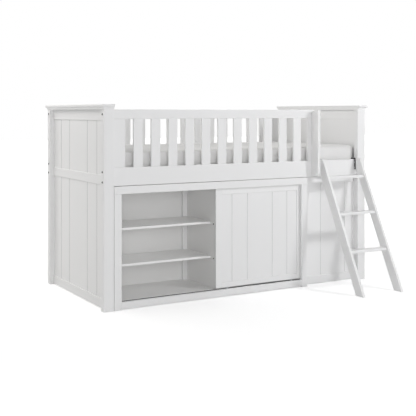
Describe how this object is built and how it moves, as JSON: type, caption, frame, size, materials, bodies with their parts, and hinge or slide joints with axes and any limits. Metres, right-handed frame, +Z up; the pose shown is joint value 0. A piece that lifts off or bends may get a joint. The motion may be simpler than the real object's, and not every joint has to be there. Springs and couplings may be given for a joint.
{
  "type": "cabin bed",
  "caption": "Raised single bed with panelled ends and slatted guards, over a storage unit with open shelves and a sliding door, and a hook-on ladder.",
  "frame": {"origin": "floor level, at the middle of the box round the bed and its ladder", "axes": "+X along the bed towards the end with the ladder, +Y from the front to the back, +Z up"},
  "size_m": [2.078, 1.4954, 1.26],
  "materials": {
    "white_wood": "satin white paint",
    "white_board": "smooth white board",
    "dark_metal": "satin black",
    "dark_plastic": "dark grey",
    "steel": "zinc plated",
    "mattress": "plain white cotton cover",
    "tape": "woven webbing"
  },
  "bodies": {
    "frame": {"left_front_post": "white_wood", "left_rear_post": "white_wood", "right_front_post": "white_wood", "right_rear_post": "white_wood", "left_end_rails": "white_wood", "right_end_rails": "white_wood", "left_end_panels": "white_wood", "right_end_panels": "white_wood", "left_cap": "white_wood", "right_cap": "white_wood", "front_side_rail": "white_wood", "rear_side_rail": "white_wood", "front_guard_rail": "white_wood", "rear_guard_rail": "white_wood", "front_guard_slats": "white_wood", "rear_guard_slats": "white_wood", "front_guard_stiles": "white_wood", "rear_guard_stiles": "white_wood", "grip_board": "white_wood", "slat_ledgers": "white_wood", "bed_slats": "white_wood", "slat_tapes": "tape", "unit_left_side": "white_board", "unit_divider": "white_board", "unit_right_side": "white_board", "unit_top": "white_board", "unit_floor": "white_board", "unit_back": "white_board", "face_top_rail": "white_wood", "face_left_stile": "white_wood", "face_right_stile": "white_wood", "kick_rail": "white_wood", "left_lower_shelf": "white_board", "left_upper_shelf": "white_board", "right_lower_shelf": "white_board", "right_upper_shelf": "white_board", "shelf_pins": "steel", "shelf_screws": "dark_metal", "unit_battens": "white_board", "bottom_track": "dark_plastic", "top_track": "dark_plastic", "front_panel_field": "white_wood", "front_panel_rails": "white_wood", "panel_cleats": "white_wood", "frame_bolts": "dark_metal", "barrel_nuts": "steel"},
    "door": {"door_stiles": "white_wood", "door_rails": "white_wood", "door_field": "white_wood", "door_guides": "dark_plastic", "roller_brackets": "steel", "roller_axles": "steel"},
    "door_roller_left": {"left_roller": "dark_plastic"},
    "door_roller_right": {"right_roller": "dark_plastic"},
    "ladder": {"ladder_left_stringer": "white_wood", "ladder_right_stringer": "white_wood", "ladder_treads": "white_wood", "ladder_hooks": "dark_metal", "ladder_screws": "steel"},
    "mattress": {"mattress": "mattress"}
  },
  "joints": [
    {"name": "door_slide", "type": "slide", "parent": "frame", "child": "door", "axis": [-1, 0, 0], "range_m": [0, 0.7]},
    {"name": "left_roller_spin", "type": "hinge", "parent": "door", "child": "door_roller_left", "pos_m": [-0.133, -0.23929, 0.0413], "axis": [0, -1, 0], "continuous": true},
    {"name": "right_roller_spin", "type": "hinge", "parent": "door", "child": "door_roller_right", "pos_m": [0.387, -0.23929, 0.0413], "axis": [0, -1, 0], "continuous": true},
    {"name": "ladder_lift", "type": "slide", "parent": "frame", "child": "ladder", "axis": [0, 0, 1], "range_m": [0, 0.06]},
    {"name": "mattress_lift", "type": "slide", "parent": "frame", "child": "mattress", "axis": [-0.061, 0, 0.9981], "range_m": [0, 0.25]}
  ],
  "couplings": [
    {"joint": "left_roller_spin", "follows": "door_slide", "rad_per_m": 111.11},
    {"joint": "right_roller_spin", "follows": "door_slide", "rad_per_m": 111.11}
  ]
}
